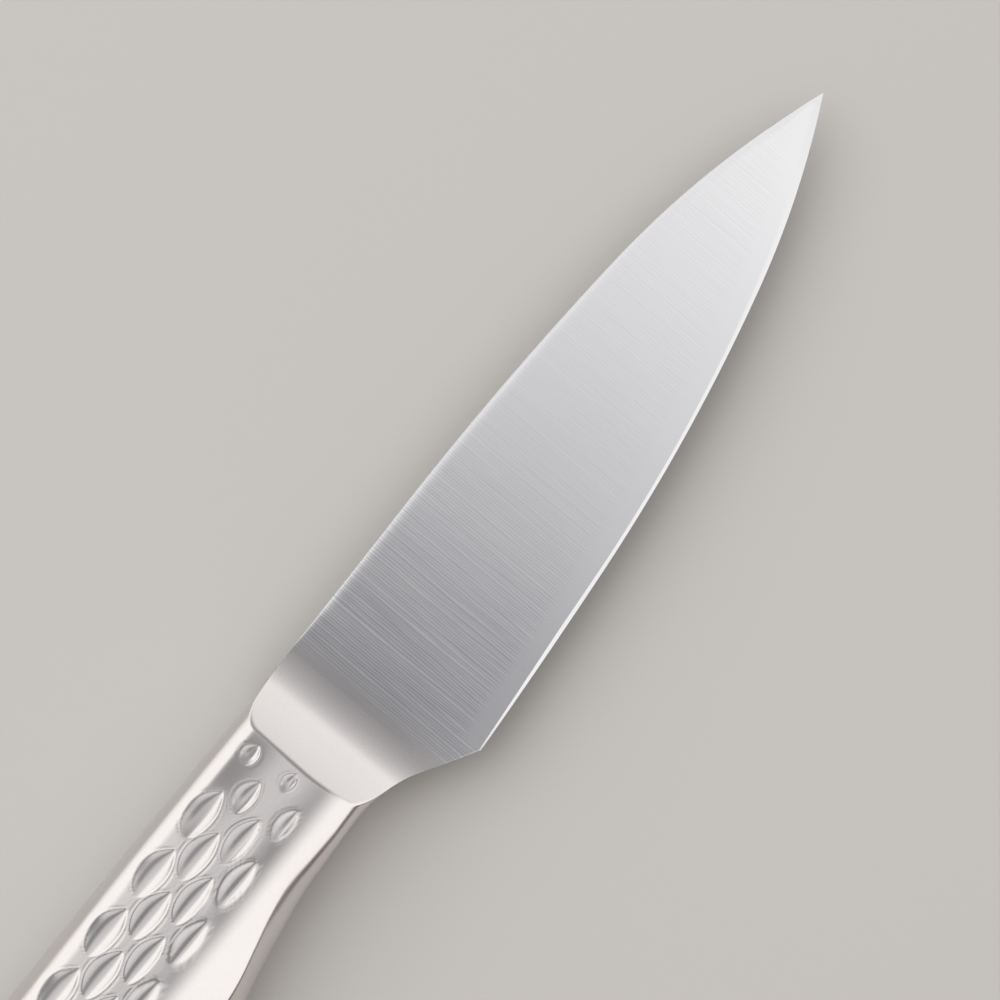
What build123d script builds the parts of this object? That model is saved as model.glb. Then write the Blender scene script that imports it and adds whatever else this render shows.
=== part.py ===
from build123d import *
import math
import os

# Small kitchen knife made wholly of stainless steel: a ground blade welded between the two
# pressed halves of a hollow handle. Lengths are in millimetres, angles in degrees.
# The knife lies on its left side: +X runs from the handle to the tip, +Y towards the spine,
# +Z up through the thickness. While it is made, x = 0 is where the blade's spine turns into
# the back of the handle, a little behind the ridge, y = 0 is the line of the spine there, and
# z = 0 is the middle plane of the blade.

# Blade: outline
blade_length = 120.0
heel_place = 18.8
heel_depth = 29.0
tip_depth = 6.6
spine_rise = 1.2
edge_heel_angle = 4.9

# Blade: thickness, from the spine at x = 0 to the edge at the heel and the tip, and how
# much is ground off each side of its root to seat the weld metal
spine_thickness = 1.9
heel_thickness = 0.36
tip_thickness = 0.6
bevel_angle = 15.0
bevel_reach = 2.5
root_step = 0.12

# Neck: where the underside runs level, and how far ahead of it the bend to the heel centres
neck_place = 1.6
neck_depth = 21.8
neck_bend = 4.9

# Stub tang inside the handle
tang_length = 24.0
tang_depth = 11.0
tang_drop = 5.0
tang_corner = 3.0

# Handle: outline, half sections and sheet
handle_length = 115.0
handle_depth = 27.9
spine_droop = 3.9
handle_thickness = 14.5
sheet_thickness = 1.0
seam_width = 0.8
corner_radius = 3.0
land_depth = 13.0
land_grind = 0.03
crown_angle = 10.0
facet_width = 3.0
front_side_angle = 8.0
rear_side_angle = 20.0
neck_wall_height = 3.3
belly_wall_height = 0.7

# Butt: rounding seen from the side and seen from above
butt_outline_radius = 8.0
butt_edge_drop = 5.0

# Ramp: the ground slope from the blade up to the ridge, with a hollow at its foot
ridge_place = 1.6
ramp_angle = 38.0
ramp_foot_angle = 2.0
ramp_hollow_radius = 9.5

# Dimples: staggered rows of pressed lens-shaped hollows that follow the handle's back.
# They start small beside the ridge and end small before the butt.
dimple_length = 8.6
dimple_width = 4.2
dimple_depth = 0.75
dimple_skew = 0.45
dimple_overrun = 0.12
dimple_pitch = 10.47
first_row_drop = 4.6
row_pitch = 3.3
row_stagger = 4.8
row_lean = 0.45
first_dimple_gap = 3.1
last_dimple_gap = 10.0
fade_length = 13.8

# Filling hole, its plug and the balance sand, which lies along the lower half of the handle
plug_diameter = 3.4
plug_length = 1.6
sand_clearance = 0.3
sand_height = 3.2
sand_front_gap = 12.0

# One overrun serves all cuts
overrun = 1.5

# Outline points of the blade, as shares of blade_length along and of the depth they follow
edge_place_shares = (0.4017, 0.7767)
edge_depth_shares = (0.9, 0.599)
spine_place_shares = (0.3183, 0.6933)
spine_height_shares = (1.0, 0.6)

# Stations behind the neck: (place along handle_length, swell from neck_depth to handle_depth,
# facet as a share of facet_width, wall as a share between the neck's and the belly's height)
station_shares = (
    (0.016, 0.030, 0.82, 0.00),
    (0.059, 0.090, 0.95, 0.30),
    (0.103, 0.161, 0.98, 0.65),
    (0.146, 0.303, 0.90, 0.90),
    (0.190, 0.459, 0.72, 1.00),
    (0.233, 0.648, 0.68, 1.00),
    (0.277, 0.836, 0.85, 1.00),
    (0.357, 1.000, 0.95, 1.00),
    (0.478, 0.950, 0.95, 1.00),
    (0.609, 0.800, 0.92, 1.00),
    (0.739, 0.640, 0.88, 1.00),
    (0.844, 0.557, 0.85, 1.00),
)
neck_facet_share = 0.77
butt_swell_share = 0.557
butt_facet_share = 0.80
rear_form_share = 0.45
least_corner_share = 0.25

# Butt stations, as shares of a quarter turn round the outline's rounding
butt_turn_shares = (0.0, 0.2, 0.4, 0.6, 0.8, 0.92, 1.0)

# Dimples: width and depth of each row, and the length, width and depth that fading leaves
row_width_shares = (1.0, 0.89, 0.80, 0.73)
fade_length_share = 0.25
fade_width_share = 0.34

half_thickness = handle_thickness / 2
seam_half = seam_width / 2
belly_swell = butt_swell_share * (handle_depth - neck_depth)
butt_middle = -(neck_depth + belly_swell + spine_droop) / 2


def tan(angle):
    return math.tan(math.radians(angle))


def sin(angle):
    return math.sin(math.radians(angle))


def cos(angle):
    return math.cos(math.radians(angle))


# Blade faces: each flank is one plane that thins from the spine to the edge and to the tip
_heel_fall = (spine_thickness - heel_thickness) / 2
_tip_fall = (spine_thickness - tip_thickness) / 2
_cross = blade_length * heel_depth - heel_place * tip_depth
fall_along = (_tip_fall * heel_depth - _heel_fall * tip_depth) / _cross
fall_down = (_heel_fall * blade_length - _tip_fall * heel_place) / _cross


def flank_height(x, y):
    return spine_thickness / 2 - fall_along * x + fall_down * y


# Local x runs along the flank towards the tip, local y up it to the spine, local z out of it
flank = Plane(
    origin=(0, 0, flank_height(0, 0)),
    x_dir=(1, 0, -fall_along),
    z_dir=(fall_along, -fall_down, 1),
)

root_flank = Plane(
    origin=flank.origin - flank.z_dir * root_step, x_dir=flank.x_dir, z_dir=flank.z_dir
)

# Ramp: a straight slope from the ridge down to the weld, then a hollow out onto the blade
hollow_rise = ramp_hollow_radius * (cos(ramp_foot_angle) - cos(ramp_angle))
slope_rise = half_thickness - flank_height(0, -corner_radius) - hollow_rise
weld_place = ridge_place + slope_rise / tan(ramp_angle)
ramp_foot = weld_place + ramp_hollow_radius * (sin(ramp_angle) - sin(ramp_foot_angle))
front_place = ramp_foot + overrun


def ramp_plane(inset):
    """The straight slope, moved into the metal by inset; local z points out of the handle."""
    slope = flank.rotated((0, ramp_angle, 0))
    on_slope = flank.from_local_coords(Vector(weld_place, 0, hollow_rise))
    return Plane(origin=on_slope - slope.z_dir * inset, x_dir=slope.x_dir, z_dir=slope.z_dir)


# Underside between the neck and the heel: an arc, then a straight line to the heel
heel_angle = math.degrees(
    math.atan2(heel_depth - neck_depth, heel_place - neck_place - neck_bend)
)
neck_radius = neck_bend / tan(heel_angle / 2)
neck_arc_end = neck_place + neck_radius * sin(heel_angle)


def neck_underside(x):
    """Depth of the underside ahead of the neck."""
    if x < neck_arc_end:
        across = x - neck_place
        return neck_depth + neck_radius - math.sqrt(neck_radius**2 - across**2)
    return heel_depth - (heel_place - x) * tan(heel_angle)


def neck_spine(x):
    """Height of the spine ahead of the neck, on the straight line to its first outline point."""
    spine_end = spine_place_shares[0] * blade_length
    return spine_rise * (x - neck_place) / (spine_end - neck_place)


# Handle stations
class Station:
    """The sizes of the handle's cross-section at one place along it."""

    def __init__(self, x, spine, depth, facet, wall, scale=1.0):
        rear = min(1.0, max(0.0, -x) / (rear_form_share * handle_length))
        self.x = x
        self.spine = spine
        self.belly = -depth
        self.facet = facet
        self.wall = wall
        self.side_angle = front_side_angle + (rear_side_angle - front_side_angle) * rear
        self.scale = scale


def handle_spine(x):
    """Height of the handle's back: level at the neck, drooping towards the butt."""
    return -spine_droop * (min(x, 0) / handle_length) ** 2


def front_stations():
    places = (front_place, (neck_arc_end + weld_place) / 2, weld_place)
    places += ((weld_place + neck_place) / 2, neck_place)
    facet = facet_width * neck_facet_share
    return [
        Station(x, neck_spine(x), neck_underside(x), facet, neck_wall_height)
        for x in places
    ]


def middle_stations():
    stations = []
    for place_share, swell_share, facet_share, wall_share in station_shares:
        x = -place_share * handle_length
        depth = neck_depth + swell_share * (handle_depth - neck_depth)
        wall = neck_wall_height + wall_share * (belly_wall_height - neck_wall_height)
        facet = facet_width * facet_share
        stations.append(Station(x, handle_spine(x), depth, facet, wall))
    return stations


def butt_stations(inset):
    """Stations that close the handle round the butt, set in from its end by inset."""
    outline_radius = butt_outline_radius - inset
    edge_drop = butt_edge_drop - inset
    depth = neck_depth + belly_swell
    stations = []
    for turn_share in butt_turn_shares:
        turn = 90 * turn_share
        x = inset - handle_length + outline_radius * (1 - sin(turn))
        squeeze = outline_radius * (1 - cos(turn))
        scale = 1 - edge_drop * (1 - cos(turn)) / (half_thickness - inset)
        spine = handle_spine(x) - squeeze
        facet = facet_width * butt_facet_share * scale
        stations.append(Station(x, spine, depth - squeeze, facet, belly_wall_height, scale))
    return stations


# Cross-section of the handle, drawn with local x towards the spine and local y up
def round_edge(start, direction, end):
    """A round stretch from start, leaving it in direction, as one cubic curve.

    Every section has the same kinds of curve, so the surface between sections runs even.
    """
    first, last = Vector(start), Vector(end)
    leave = Vector(direction).normalized()
    chord = (last - first).normalized()
    half_turn = leave.get_angle(chord)
    reach = 2 / 3 * (last - first).length * tan(half_turn / 2) / sin(half_turn)
    arrive = chord * (2 * leave.dot(chord)) - leave
    return Bezier(first, first + leave * reach, last - arrive * reach, last)


def section_face(station, inset):
    top = (half_thickness + land_grind - inset) * station.scale
    radius = max(corner_radius - inset, corner_radius * least_corner_share) * station.scale
    spine = station.spine - inset
    belly = station.belly + inset
    angle = station.side_angle

    side_top = top - radius * (1 - sin(angle))
    side_y = spine - side_top * tan(angle / 2)
    land_start = side_y - radius * cos(angle)
    edge_y = belly + station.facet
    land_end = max(station.spine - land_depth * station.scale, (land_start + edge_y) / 2)
    edge_top = top - (land_end - edge_y) * tan(crown_angle / 2)
    wall = min(station.wall, edge_top / 2)

    outline = [
        round_edge((spine, 0), (0, -1), (side_y, -side_top)),
        round_edge((spine, 0), (0, 1), (side_y, side_top)),
        Line((belly, -wall), (belly, wall)),
    ]
    for up in (1, -1):
        outline += [
            round_edge((side_y, up * side_top), (-sin(angle), up * cos(angle)),
                       (land_start, up * top)),
            Line((land_start, up * top), (land_end, up * top)),
            round_edge((land_end, up * top), (-1, 0), (edge_y, up * edge_top)),
            round_edge((belly, up * wall), (0, up), (edge_y, up * edge_top)),
        ]
    return Plane(origin=(station.x, 0, 0), x_dir=(0, 1, 0), z_dir=(1, 0, 0)) * make_face(outline)


def slice_between(solid, low, high, direction):
    """The part of a solid between two planes square to a direction."""
    lower = Plane(origin=Vector(direction) * low, z_dir=direction)
    upper = Plane(origin=Vector(direction) * high, z_dir=direction)
    return split(split(solid, lower, Keep.TOP), upper, Keep.BOTTOM)


def handle_form(inset):
    """The closed form of the handle without its ramp and dimples, inset from the outside.

    It is formed proud by land_grind on both sides, and then ground to flat lands.
    """
    butt = [section_face(station, inset) for station in butt_stations(inset)]
    grip = [section_face(station, inset) for station in front_stations() + middle_stations()]
    form = loft(grip + butt[:1]) + loft(butt)
    return slice_between(form, inset - half_thickness, half_thickness - inset, (0, 0, 1))


# Blade
def edge_arcs():
    """The edge from the heel to the tip, as three arcs that run on into one another."""
    heel = (heel_place, -heel_depth)
    tip = (blade_length, -tip_depth)
    low_end, middle_end = [
        (place * blade_length, -depth * heel_depth)
        for place, depth in zip(edge_place_shares, edge_depth_shares)
    ]
    low = TangentArc(heel, low_end, tangent=(cos(edge_heel_angle), sin(edge_heel_angle)))
    middle = TangentArc(low_end, middle_end, tangent=low % 1)
    high = TangentArc(middle_end, tip, tangent=middle % 1)
    return [low, middle, high]


def blade_outline():
    """Side view of the whole blade, from the neck to the tip."""
    line_end, middle_end = [
        (place * blade_length, height * spine_rise)
        for place, height in zip(spine_place_shares, spine_height_shares)
    ]
    neck = (neck_place, -neck_depth)
    arc_end = (neck_arc_end, -neck_underside(neck_arc_end))
    edge = edge_arcs()
    line = Line((neck_place, 0), line_end)
    middle = TangentArc(line_end, middle_end, tangent=line % 1)
    high = TangentArc(middle_end, edge[2] @ 1, tangent=middle % 1)
    underside = [TangentArc(neck, arc_end, tangent=(1, 0)), Line(arc_end, edge[0] @ 0)]
    return Curve() + underside + edge + [high, middle, line, Line(neck, (neck_place, 0))]


def bevel_zone():
    """The room that both edge bevels leave, open on every side but the edge."""
    edge = edge_arcs()
    heel, tip = edge[0] @ 0, edge[2] @ 1
    behind = heel - (edge[0] % 0) * (heel_place + tang_length + overrun)
    beyond = tip + (edge[2] % 1) * heel_depth
    top_left = (behind.X, heel_depth)
    top_right = (beyond.X, heel_depth)
    border = Curve() + edge + [
        Line(behind, heel), Line(tip, beyond), Line(beyond, top_right),
        Line(top_right, top_left), Line(top_left, behind),
    ]
    face = make_face(border)
    upper = extrude(face, amount=bevel_reach * tan(bevel_angle), taper=90 - bevel_angle)
    return upper + mirror(upper, Plane.XY)


def make_blade():
    """Blade and stub tang in one piece: flanks and edge bevels ground, root a step thinner."""
    tang_middle = (weld_place - tang_length / 2, -tang_drop - tang_depth / 2)
    tang = Pos(*tang_middle) * RectangleRounded(tang_length + 2 * overrun, tang_depth, tang_corner)
    blank = extrude(make_face(blade_outline()), amount=spine_thickness, both=True)
    blank = split(blank, Plane(origin=(weld_place, 0, 0), z_dir=(1, 0, 0)), Keep.TOP)
    foot = Plane(origin=(ramp_foot, 0, 0), z_dir=(1, 0, 0))
    blade = between_flanks(split(blank, foot, Keep.TOP), flank) & bevel_zone()
    root = split(blank, foot, Keep.BOTTOM) + extrude(tang, amount=spine_thickness, both=True)
    return blade + between_flanks(root, root_flank)


def between_flanks(blank, plane):
    """The part of a blank below the plane of the right flank and above its mirror image."""
    return split(split(blank, plane, Keep.BOTTOM), left_side(plane), Keep.BOTTOM)


def left_side(plane):
    """The same plane on the left side of the knife."""
    origin, along, out = plane.origin, plane.x_dir, plane.z_dir
    return Plane(
        origin=(origin.X, origin.Y, -origin.Z),
        x_dir=(along.X, along.Y, -along.Z),
        z_dir=(out.X, out.Y, -out.Z),
    )


# Dimples
class Dimple:
    """One lens-shaped hollow: the mark of a wheel with a V-shaped rim, pressed into the land."""

    def __init__(self, x, y, length_share, width_share):
        self.x = x
        self.y = y
        self.depth = dimple_depth * width_share
        self.half_width = dimple_width * width_share / 2
        self.skew = dimple_skew * width_share
        half_length = dimple_length * length_share / 2
        self.wheel_radius = (half_length**2 + self.depth**2) / (2 * self.depth)


def dimple_grid():
    """All dimples of one side, row by row from the back of the handle."""
    dimples = []
    pattern_end = ridge_place + handle_length - last_dimple_gap
    for row, row_share in enumerate(row_width_shares):
        behind = first_dimple_gap + row % 2 * row_stagger - row // 2 * row_lean
        while behind < pattern_end:
            room = min(behind, pattern_end - behind, fade_length) / fade_length
            length_share = fade_length_share + (1 - fade_length_share) * room
            width_share = fade_width_share + (1 - fade_width_share) * length_share
            x = ridge_place - behind
            y = handle_spine(x) - first_row_drop - row * row_pitch
            dimples.append(Dimple(x, y, length_share, width_share * row_share))
            behind += dimple_pitch
    return dimples


def press_wheel(dimple, sink):
    """The pressing wheel at one dimple, lowered by sink to shape the inside of the sheet."""
    rim = dimple.wheel_radius
    inner = rim - dimple.depth - dimple_overrun
    grow = (dimple.depth + dimple_overrun) / dimple.depth
    upper = (dimple.half_width + dimple.skew) * grow
    lower = (dimple.half_width - dimple.skew) * grow
    valley = dimple.y - dimple.skew
    axle = half_thickness - sink - dimple.depth + rim
    plane = Plane(origin=(dimple.x, 0, axle), x_dir=(0, 1, 0), z_dir=(1, 0, 0))
    profile = make_face(Polyline(
        (valley, -rim), (valley + upper, -inner), (valley - lower, -inner), close=True
    ))
    half_turn = math.degrees(math.acos(inner / rim))
    axis = Axis((dimple.x, 0, axle), (0, 1, 0))
    start = (plane * profile).rotate(axis, -half_turn)
    return revolve(start, axis, 2 * half_turn)


# Handle
def make_shell(outer, cavity, dimples):
    """Right half of the handle: pressed sheet with the ramp, the ridge and the dimples."""
    ahead = Plane(origin=(weld_place, 0, 0), z_dir=(1, 0, 0))
    body = split(outer, Plane(origin=(0, 0, seam_half)), Keep.TOP)
    body = split(split(body, ramp_plane(0), Keep.BOTTOM), ahead, Keep.BOTTOM)
    body = body - [press_wheel(dimple, 0) for dimple in dimples]
    hollow = split(cavity, Plane(origin=(0, 0, seam_half - overrun)), Keep.TOP)
    hollow = split(hollow, ramp_plane(sheet_thickness), Keep.BOTTOM)
    hollow = hollow - [press_wheel(dimple, sheet_thickness) for dimple in dimples]
    return body - hollow


def make_blade_weld(outer):
    """Right fillet of weld metal at the foot of the ramp, ground hollow onto the blade."""
    middle_angle = (ramp_angle + ramp_foot_angle) / 2
    centre = (ramp_foot + ramp_hollow_radius * sin(ramp_foot_angle),
              ramp_hollow_radius * cos(ramp_foot_angle))
    middle = (centre[0] - ramp_hollow_radius * sin(middle_angle),
              centre[1] - ramp_hollow_radius * cos(middle_angle))
    behind = weld_place - overrun
    top = hollow_rise + overrun * tan(ramp_angle)
    profile = make_face(Curve() + [
        Polyline((ramp_foot, 0), (ramp_foot, -overrun), (behind, -overrun), (behind, top),
                 (weld_place, hollow_rise)),
        ThreePointArc((weld_place, hollow_rise), middle, (ramp_foot, 0)),
    ])
    across = Plane(origin=flank.origin, x_dir=flank.x_dir, z_dir=-flank.y_dir)
    room = extrude(across * profile, amount=2 * handle_depth, both=True)
    side = extrude(make_face(blade_outline()), amount=handle_thickness)
    weld = outer & room & side
    weld = split(weld, root_flank, Keep.TOP)
    weld = split(weld, Plane(origin=(ramp_foot, 0, 0), z_dir=(1, 0, 0)), Keep.BOTTOM)
    return split(weld, Plane(origin=(weld_place, 0, 0), z_dir=(1, 0, 0)), Keep.TOP)


def make_seams(outer, cavity):
    """Weld metal between the two halves: along the back, along the belly and round the butt."""
    band = slice_between(outer, -seam_half, seam_half, (0, 0, 1))
    band = split(band, Plane(origin=(weld_place, 0, 0), z_dir=(1, 0, 0)), Keep.BOTTOM)
    band = band - cavity
    butt_start = Plane(origin=(butt_outline_radius - handle_length, 0, 0), z_dir=(1, 0, 0))
    middle = Plane(origin=(0, butt_middle, 0), z_dir=(0, 1, 0))
    sides = split(band, butt_start, Keep.TOP)
    return {
        "spine_seam_weld": split(sides, middle, Keep.TOP),
        "belly_seam_weld": split(sides, middle, Keep.BOTTOM),
        "butt_seam_weld": split(band, butt_start, Keep.BOTTOM) - make_plug(),
    }


def make_plug():
    """Plug of the filling hole, flush with the middle of the butt."""
    plane = Plane(origin=(-handle_length, butt_middle, 0), z_dir=(1, 0, 0))
    return extrude(plane * Circle(plug_diameter / 2), amount=plug_length)


def make_sand():
    """Loose sand, level, on the lower half while the knife lies on its left side."""
    gap = sheet_thickness + dimple_depth + sand_clearance
    bed = half_thickness - gap
    sand = slice_between(handle_form(gap), -bed - overrun, sand_height - bed, (0, 0, 1))
    return split(sand, Plane(origin=(-sand_front_gap, 0, 0), z_dir=(1, 0, 0)), Keep.BOTTOM)


def make_knife():
    outer = handle_form(0)
    cavity = handle_form(sheet_thickness)
    plug = make_plug()
    shell = make_shell(outer, cavity, dimple_grid()) - plug
    weld = make_blade_weld(outer)
    pieces = {
        "blade": make_blade(),
        "handle_shell_right": shell,
        "handle_shell_left": mirror(shell, Plane.XY),
        "blade_weld_right": weld,
        "blade_weld_left": mirror(weld, Plane.XY),
        "fill_plug": plug,
        "balance_sand": make_sand(),
    }
    pieces.update(make_seams(outer, cavity))
    return pieces


# The finished frame has its origin at the middle of the underside of the box round the knife
knife = make_knife()
box = Compound(children=[piece.solids()[0] for piece in knife.values()]).bounding_box()
shift = Pos(-box.center().X, -box.center().Y, -box.min.Z)
print("shift", shift.position, "box", box.size)
os.makedirs("parts", exist_ok=True)
for name, piece in knife.items():
    solids = piece.solids()
    print(name, len(solids), "solids", round(piece.volume, 1), "mm3", piece.is_valid)
    export_step(shift * (solids[0] if len(solids) == 1 else piece), f"parts/{name}.step")
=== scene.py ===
# %% [markdown]
# # A small kitchen knife made wholly of stainless steel
#
# The knife lies on its left side. The imported solids give every size and place, and this scene
# lays finer skins over them: a blade ground from spine to edge, and a hollow handle pressed
# with lens-shaped dimples. All lengths below are in millimetres and are turned to metres once.

# %% Load the fixed frame
import math
import bpy
import numpy as np
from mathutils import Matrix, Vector


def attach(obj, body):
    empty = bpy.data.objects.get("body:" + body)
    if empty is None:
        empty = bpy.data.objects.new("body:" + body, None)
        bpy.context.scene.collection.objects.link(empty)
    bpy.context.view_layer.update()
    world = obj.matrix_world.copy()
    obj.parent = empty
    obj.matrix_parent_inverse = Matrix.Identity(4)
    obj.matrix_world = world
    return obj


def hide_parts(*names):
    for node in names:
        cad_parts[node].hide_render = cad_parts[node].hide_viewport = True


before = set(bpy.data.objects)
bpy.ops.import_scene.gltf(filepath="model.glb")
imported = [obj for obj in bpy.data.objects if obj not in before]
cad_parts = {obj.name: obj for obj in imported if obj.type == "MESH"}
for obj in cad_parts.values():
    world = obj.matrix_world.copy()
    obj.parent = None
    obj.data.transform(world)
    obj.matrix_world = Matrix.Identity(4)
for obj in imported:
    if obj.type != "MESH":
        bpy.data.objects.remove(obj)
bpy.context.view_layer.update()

MM = 0.001
print("solids:", sorted(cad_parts))

# %% [markdown]
# ## The camera
#
# The photograph looks straight down from about half a metre with a long lens, so the knife
# hardly tapers with distance. It lies across the picture, tip up and to the right.

# %% Camera
LIES_AT = math.radians(50)
camera_data = bpy.data.cameras.new("overhead_camera")
camera = bpy.data.objects.new("overhead_camera", camera_data)
bpy.context.scene.collection.objects.link(camera)
bpy.context.scene.camera = camera
camera_data.lens = 127
camera_data.sensor_width = 36

CAMERA_HEIGHT = 500
looks_at = (44.9, 5.2)
camera.location = (looks_at[0] * MM, looks_at[1] * MM, CAMERA_HEIGHT * MM)
camera.rotation_euler = (0, 0, -LIES_AT)
print("camera over", looks_at, "at", CAMERA_HEIGHT, "mm")

# %% [markdown]
# ## Sizes of the handle
#
# The sizes repeat those of the solids. While the skins are shaped, x = 0 is where the blade's
# spine turns into the back of the handle, a little behind the ridge, y = 0 is the line of the
# spine there and z = 0 the middle plane. SHIFT then moves them to where the solids are.

# %% Sizes
BLADE_LENGTH, HEEL_PLACE, HEEL_DEPTH, TIP_DEPTH = 120.0, 18.8, 29.0, 6.6
EDGE_HEEL_ANGLE, BEVEL_ANGLE = math.radians(4.9), math.radians(15)
SPINE_THICKNESS, HEEL_THICKNESS, TIP_THICKNESS = 1.9, 0.36, 0.6
NECK_PLACE, NECK_DEPTH, NECK_BEND = 1.6, 21.8, 4.9
HANDLE_LENGTH, HANDLE_DEPTH, HANDLE_THICKNESS = 115.0, 27.9, 14.5
SPINE_DROOP, SPINE_RISE = 3.9, 1.2
FACET_WIDTH, LAND_DEPTH, CROWN_ANGLE = 3.0, 13.0, math.radians(10)
CORNER_RADIUS, FRONT_SIDE, REAR_SIDE, REAR_SIDE_SHARE = 3.0, 8.0, 20.0, 0.45
NECK_WALL, BELLY_WALL = 3.3, 0.7
BUTT_RADIUS, BUTT_DROP = 8.0, 5.0
RIDGE_PLACE, RAMP_ANGLE, FOOT_ANGLE, HOLLOW_RADIUS = 1.6, math.radians(38), math.radians(2), 9.5
SEAM_HALF = 0.4
HALF = HANDLE_THICKNESS / 2

heel_fall = (SPINE_THICKNESS - HEEL_THICKNESS) / 2
tip_fall = (SPINE_THICKNESS - TIP_THICKNESS) / 2
cross = BLADE_LENGTH * HEEL_DEPTH - HEEL_PLACE * TIP_DEPTH
FALL_ALONG = (tip_fall * HEEL_DEPTH - heel_fall * TIP_DEPTH) / cross
FALL_DOWN = (heel_fall * BLADE_LENGTH - tip_fall * HEEL_PLACE) / cross


def flank_height(x, y):
    """Height of the blade's flat ground side above the middle plane."""
    return SPINE_THICKNESS / 2 - FALL_ALONG * x + FALL_DOWN * y


hollow_rise = HOLLOW_RADIUS * (math.cos(FOOT_ANGLE) - math.cos(RAMP_ANGLE))
slope_rise = HALF - flank_height(0, -CORNER_RADIUS) - hollow_rise
WELD_PLACE = RIDGE_PLACE + slope_rise / math.tan(RAMP_ANGLE)
RAMP_FOOT = WELD_PLACE + HOLLOW_RADIUS * (math.sin(RAMP_ANGLE) - math.sin(FOOT_ANGLE))
SHIFT = Vector((-2.5, 13.7608, 7.25))
print("ramp meets the blade from", round(WELD_PLACE, 2), "to", round(RAMP_FOOT, 2))

# %% [markdown]
# ## Outlines
#
# From the side the spine and the edge are tangent arcs. Each is worked out as a height for
# any place along the knife, so that a skin can have rows as fine as it needs.


# %% Tangent arcs as heights over x
SAME_PLACE, STRAIGHT, LEAST_SINE = 1e-9, 1e-6, 1e-9


def arc_heights(x, points, slope):
    """Heights at x of arcs through points, each leaving the last in the same direction."""
    heights = np.full_like(x, np.nan)
    angle = slope
    for (x0, y0), (x1, y1) in zip(points[:-1], points[1:]):
        chord = math.atan2(y1 - y0, x1 - x0)
        turn = 2 * (chord - angle)
        here = (x >= x0 - SAME_PLACE) & (x <= x1 + SAME_PLACE)
        if abs(turn) < STRAIGHT:
            heights[here] = y0 + (x[here] - x0) * math.tan(angle)
        else:
            radius = math.hypot(x1 - x0, y1 - y0) / (2 * math.sin(turn / 2))
            centre = (x0 - radius * math.sin(angle), y0 + radius * math.cos(angle))
            reach = np.sqrt(np.maximum(radius**2 - (x[here] - centre[0]) ** 2, 0))
            heights[here] = centre[1] - math.copysign(1, radius) * reach
        angle += turn
    return heights


EDGE_POINTS = [
    (HEEL_PLACE, -HEEL_DEPTH), (0.4017 * BLADE_LENGTH, -0.9 * HEEL_DEPTH),
    (0.7767 * BLADE_LENGTH, -0.599 * HEEL_DEPTH), (BLADE_LENGTH, -TIP_DEPTH),
]
SPINE_POINTS = [
    (NECK_PLACE, 0.0), (0.3183 * BLADE_LENGTH, SPINE_RISE),
    (0.6933 * BLADE_LENGTH, 0.6 * SPINE_RISE), (BLADE_LENGTH, -TIP_DEPTH),
]
HEEL_ANGLE = math.atan2(HEEL_DEPTH - NECK_DEPTH, HEEL_PLACE - NECK_PLACE - NECK_BEND)
NECK_RADIUS = NECK_BEND / math.tan(HEEL_ANGLE / 2)
NECK_ARC_END = NECK_PLACE + NECK_RADIUS * math.sin(HEEL_ANGLE)


def neck_depth(x):
    """Depth of the underside between the neck and the heel."""
    across = np.clip(x - NECK_PLACE, 0, NECK_ARC_END - NECK_PLACE)
    on_arc = NECK_DEPTH + NECK_RADIUS - np.sqrt(NECK_RADIUS**2 - across**2)
    on_line = HEEL_DEPTH - (HEEL_PLACE - x) * math.tan(HEEL_ANGLE)
    return np.where(x < NECK_ARC_END, on_arc, on_line)


def blade_spine(x):
    slope = math.atan2(SPINE_RISE, SPINE_POINTS[1][0] - NECK_PLACE)
    return arc_heights(x, SPINE_POINTS, slope)


def blade_edge(x):
    return arc_heights(x, EDGE_POINTS, EDGE_HEEL_ANGLE)


# %% [markdown]
# ## Cross-sections of the handle
#
# The handle swells gently, so its depth, its side facet and its belly wall are given at a few
# places and run smoothly between them. A section goes from the seam on the back, round the
# corner, over the flat land with the dimples, down the crown and the facet to the belly seam.

# %% Stations
STATIONS = np.array([
    (0.016, 0.030, 0.82, 0.00), (0.059, 0.090, 0.95, 0.30), (0.103, 0.161, 0.98, 0.65),
    (0.146, 0.303, 0.90, 0.90), (0.190, 0.459, 0.72, 1.00), (0.233, 0.648, 0.68, 1.00),
    (0.277, 0.836, 0.85, 1.00), (0.357, 1.000, 0.95, 1.00), (0.478, 0.950, 0.95, 1.00),
    (0.609, 0.800, 0.92, 1.00), (0.739, 0.640, 0.88, 1.00), (0.844, 0.557, 0.85, 1.00),
    (0.930, 0.557, 0.80, 1.00),
])
NECK_STATION = (-NECK_PLACE / HANDLE_LENGTH, 0.0, 0.77, 0.0)


def smooth_between(at, places, values):
    """A cubic run through the values whose slope at each comes from its neighbours."""
    slopes = np.gradient(values, places)
    at = np.clip(at, places[0], places[-1])
    cell = np.clip(np.searchsorted(places, at) - 1, 0, len(places) - 2)
    width = places[cell + 1] - places[cell]
    t = (at - places[cell]) / width
    return ((1 + 2 * t) * (1 - t) ** 2 * values[cell] + t * (1 - t) ** 2 * width * slopes[cell]
            + t**2 * (3 - 2 * t) * values[cell + 1] + t**2 * (t - 1) * width * slopes[cell + 1])


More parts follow.
